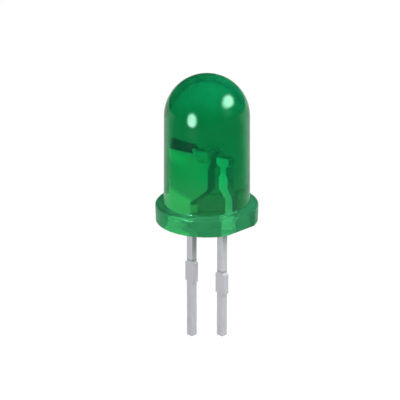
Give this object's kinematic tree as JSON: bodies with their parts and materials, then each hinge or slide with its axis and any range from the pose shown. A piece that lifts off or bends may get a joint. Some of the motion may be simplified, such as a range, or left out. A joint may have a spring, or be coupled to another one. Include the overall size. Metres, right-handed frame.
{
  "type": "light-emitting diode",
  "caption": "Round through-hole LED with a tinted domed epoxy case, a flange with a polarity flat, and two straight leads with stops.",
  "frame": {"origin": "centre of the underside of the case's flange, which is the seating plane", "axes": "+Z along the lens axis and out of the dome; the leads lie in the XZ plane and point along -Z, the anode at -X and the cathode, next to the flat, at +X"},
  "size_m": [0.0058, 0.006, 0.0168],
  "materials": {
    "tinted_epoxy": "gloss",
    "tin_plate": "satin",
    "semiconductor": "satin",
    "silver_glue": "matte",
    "gold": "gloss"
  },
  "bodies": {
    "root": {"epoxy_case": "tinted_epoxy", "anode_lead": "tin_plate", "cathode_lead": "tin_plate", "led_chip": "semiconductor", "die_attach": "silver_glue", "bond_wire": "gold"}
  },
  "joints": []
}
